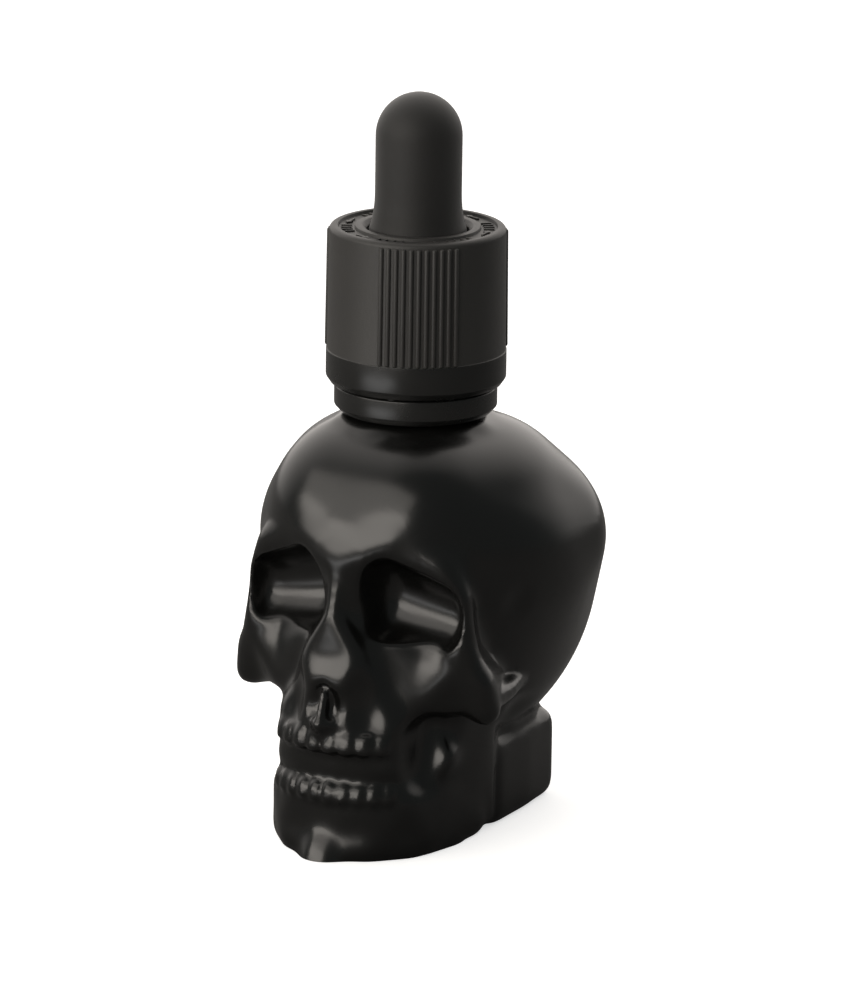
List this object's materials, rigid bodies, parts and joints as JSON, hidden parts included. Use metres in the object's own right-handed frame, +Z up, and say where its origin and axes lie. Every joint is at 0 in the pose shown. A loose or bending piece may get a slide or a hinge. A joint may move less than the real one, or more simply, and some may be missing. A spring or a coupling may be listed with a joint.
{
  "type": "dropper bottle",
  "caption": "Skull-shaped glass dropper bottle with a child-resistant screw closure, break-off ring, rubber squeeze bulb and glass pipette.",
  "frame": {"origin": "on the flat base, under the neck's axis", "axes": "+Z up along the neck, -Y the way the face looks, +X the skull's left side"},
  "size_m": [0.0466, 0.0641, 0.1043],
  "materials": {
    "coated_black_glass": "opaque black coating on glass, satin",
    "matt_polypropylene": "black moulded plastic, fine matt grain",
    "inner_polypropylene": "black moulded plastic",
    "black_rubber": "matt black rubber",
    "clear_glass": "clear drawn glass"
  },
  "bodies": {
    "bottle": {"skull_bottle": "coated_black_glass"},
    "ring": {"tamper_ring": "matt_polypropylene"},
    "dropper": {"rubber_bulb": "black_rubber", "glass_pipette": "clear_glass"},
    "cap": {"inner_cap": "inner_polypropylene"},
    "shell": {"outer_shell": "matt_polypropylene"}
  },
  "joints": [
    {"name": "ring_spin", "type": "hinge", "parent": "bottle", "child": "ring", "pos_m": [0, 0, 0.0611], "axis": [0, 0, 1], "continuous": true},
    {"name": "dropper_lift", "type": "slide", "parent": "bottle", "child": "dropper", "axis": [0, 0, 1], "range_m": [0, 0.068]},
    {"name": "cap_turn", "type": "hinge", "parent": "dropper", "child": "cap", "pos_m": [0, 0, 0.07], "axis": [0, 0, 1], "range_deg": [0, 450]},
    {"name": "shell_push", "type": "slide", "parent": "cap", "child": "shell", "axis": [0, 0, 1], "range_m": [-0.0014, 0], "stiffness_N_per_m": 3000, "springref_m": 0.0003}
  ]
}
